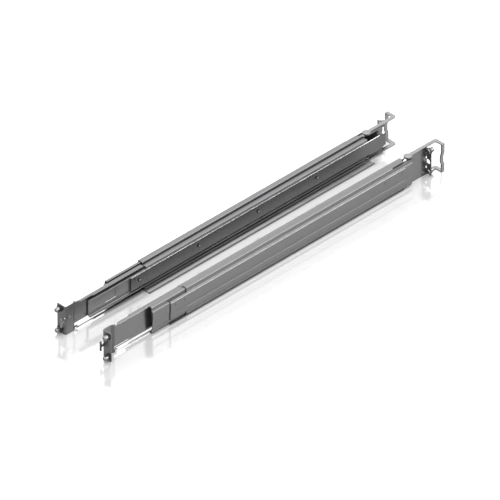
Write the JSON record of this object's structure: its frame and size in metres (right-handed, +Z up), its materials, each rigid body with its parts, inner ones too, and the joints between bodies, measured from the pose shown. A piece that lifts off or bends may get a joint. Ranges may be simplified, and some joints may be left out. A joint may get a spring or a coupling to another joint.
{
  "type": "sliding server rail pair",
  "caption": "Mirrored pair of telescoping rack rails with ball slides, studded end flanges, a swinging front latch and a sprung rear hook on each rail.",
  "frame": {"origin": "on the surface the pair stands on, midway between the rails and midway along the closed pair", "axes": "+X from the rear of the rack to the front, +Y to the left, +Z up"},
  "size_m": [0.613, 0.104, 0.0447],
  "materials": {
    "zinc_steel": "satin zinc plate",
    "slide_steel": "satin zinc plate",
    "latch_steel": "bright zinc plate",
    "chrome": "polished chrome",
    "black_collar": "black oxide",
    "rivet_steel": "satin",
    "spring_steel": "oiled spring wire",
    "cage_steel": "satin",
    "ball_steel": "polished"
  },
  "bodies": {
    "frame": {"left_outer_channel": "zinc_steel", "left_guide_sleeve": "zinc_steel", "left_front_bracket": "zinc_steel", "left_front_studs": "chrome", "left_front_collars": "black_collar", "left_frame_rivets": "rivet_steel", "left_slide_outer_member": "slide_steel", "left_slide_spacers": "rivet_steel", "left_latch_pivots": "rivet_steel", "left_latch_spring": "spring_steel", "right_outer_channel": "zinc_steel", "right_guide_sleeve": "zinc_steel", "right_front_bracket": "zinc_steel", "right_front_studs": "chrome", "right_front_collars": "black_collar", "right_frame_rivets": "rivet_steel", "right_slide_outer_member": "slide_steel", "right_slide_spacers": "rivet_steel", "right_latch_pivots": "rivet_steel", "right_latch_spring": "spring_steel"},
    "left_rear": {"left_rear_bracket": "zinc_steel", "left_rear_slide_bar": "zinc_steel", "left_bar_rivets": "rivet_steel", "left_rear_studs": "chrome", "left_rear_collars": "black_collar", "left_rear_hook_pin": "rivet_steel", "left_rear_hook_spring": "spring_steel"},
    "left_hook": {"left_rear_hook": "latch_steel"},
    "left_latch": {"left_front_latch": "latch_steel"},
    "left_middle": {"left_slide_middle_member": "slide_steel"},
    "left_inner": {"left_slide_inner_member": "slide_steel", "left_chassis_studs": "chrome"},
    "left_outer_cage": {"left_outer_ball_cage": "cage_steel", "left_outer_balls": "ball_steel"},
    "left_inner_cage": {"left_inner_ball_cage": "cage_steel", "left_inner_balls": "ball_steel"},
    "right_rear": {"right_rear_bracket": "zinc_steel", "right_rear_slide_bar": "zinc_steel", "right_bar_rivets": "rivet_steel", "right_rear_studs": "chrome", "right_rear_collars": "black_collar", "right_rear_hook_pin": "rivet_steel", "right_rear_hook_spring": "spring_steel"},
    "right_hook": {"right_rear_hook": "latch_steel"},
    "right_latch": {"right_front_latch": "latch_steel"},
    "right_middle": {"right_slide_middle_member": "slide_steel"},
    "right_inner": {"right_slide_inner_member": "slide_steel", "right_chassis_studs": "chrome"},
    "right_outer_cage": {"right_outer_ball_cage": "cage_steel", "right_outer_balls": "ball_steel"},
    "right_inner_cage": {"right_inner_ball_cage": "cage_steel", "right_inner_balls": "ball_steel"}
  },
  "joints": [
    {"name": "left_rear_extension", "type": "slide", "parent": "frame", "child": "left_rear", "axis": [-1, 0, 0], "range_m": [0, 0.25]},
    {"name": "left_middle_slide", "type": "slide", "parent": "frame", "child": "left_middle", "axis": [1, 0, 0], "range_m": [0, 0.25]},
    {"name": "left_inner_slide", "type": "slide", "parent": "left_middle", "child": "left_inner", "axis": [1, 0, 0], "range_m": [0, 0.25]},
    {"name": "left_outer_cage_slide", "type": "slide", "parent": "frame", "child": "left_outer_cage", "axis": [1, 0, 0], "range_m": [0, 0.126]},
    {"name": "left_inner_cage_slide", "type": "slide", "parent": "left_middle", "child": "left_inner_cage", "axis": [1, 0, 0], "range_m": [0, 0.126]},
    {"name": "left_latch_swing", "type": "hinge", "parent": "frame", "child": "left_latch", "pos_m": [0.2525, 0.0378, 0.022], "axis": [0, 0, -1], "range_deg": [0, 26]},
    {"name": "left_hook_tilt", "type": "hinge", "parent": "left_rear", "child": "left_hook", "pos_m": [-0.292, 0.03605, 0.0265], "axis": [0, 1, 0], "range_deg": [0, 12]},
    {"name": "right_rear_extension", "type": "slide", "parent": "frame", "child": "right_rear", "axis": [-1, 0, 0], "range_m": [0, 0.25]},
    {"name": "right_middle_slide", "type": "slide", "parent": "frame", "child": "right_middle", "axis": [1, 0, 0], "range_m": [0, 0.25]},
    {"name": "right_inner_slide", "type": "slide", "parent": "right_middle", "child": "right_inner", "axis": [1, 0, 0], "range_m": [0, 0.25]},
    {"name": "right_outer_cage_slide", "type": "slide", "parent": "frame", "child": "right_outer_cage", "axis": [1, 0, 0], "range_m": [0, 0.126]},
    {"name": "right_inner_cage_slide", "type": "slide", "parent": "right_middle", "child": "right_inner_cage", "axis": [1, 0, 0], "range_m": [0, 0.126]},
    {"name": "right_latch_swing", "type": "hinge", "parent": "frame", "child": "right_latch", "pos_m": [0.2525, -0.0378, 0.022], "axis": [0, 0, 1], "range_deg": [0, 26]},
    {"name": "right_hook_tilt", "type": "hinge", "parent": "right_rear", "child": "right_hook", "pos_m": [-0.292, -0.03605, 0.0265], "axis": [0, 1, 0], "range_deg": [0, 12]}
  ],
  "couplings": [
    {"joint": "left_outer_cage_slide", "follows": "left_middle_slide", "ratio": 0.5},
    {"joint": "left_inner_cage_slide", "follows": "left_inner_slide", "ratio": 0.5},
    {"joint": "right_outer_cage_slide", "follows": "right_middle_slide", "ratio": 0.5},
    {"joint": "right_inner_cage_slide", "follows": "right_inner_slide", "ratio": 0.5}
  ]
}
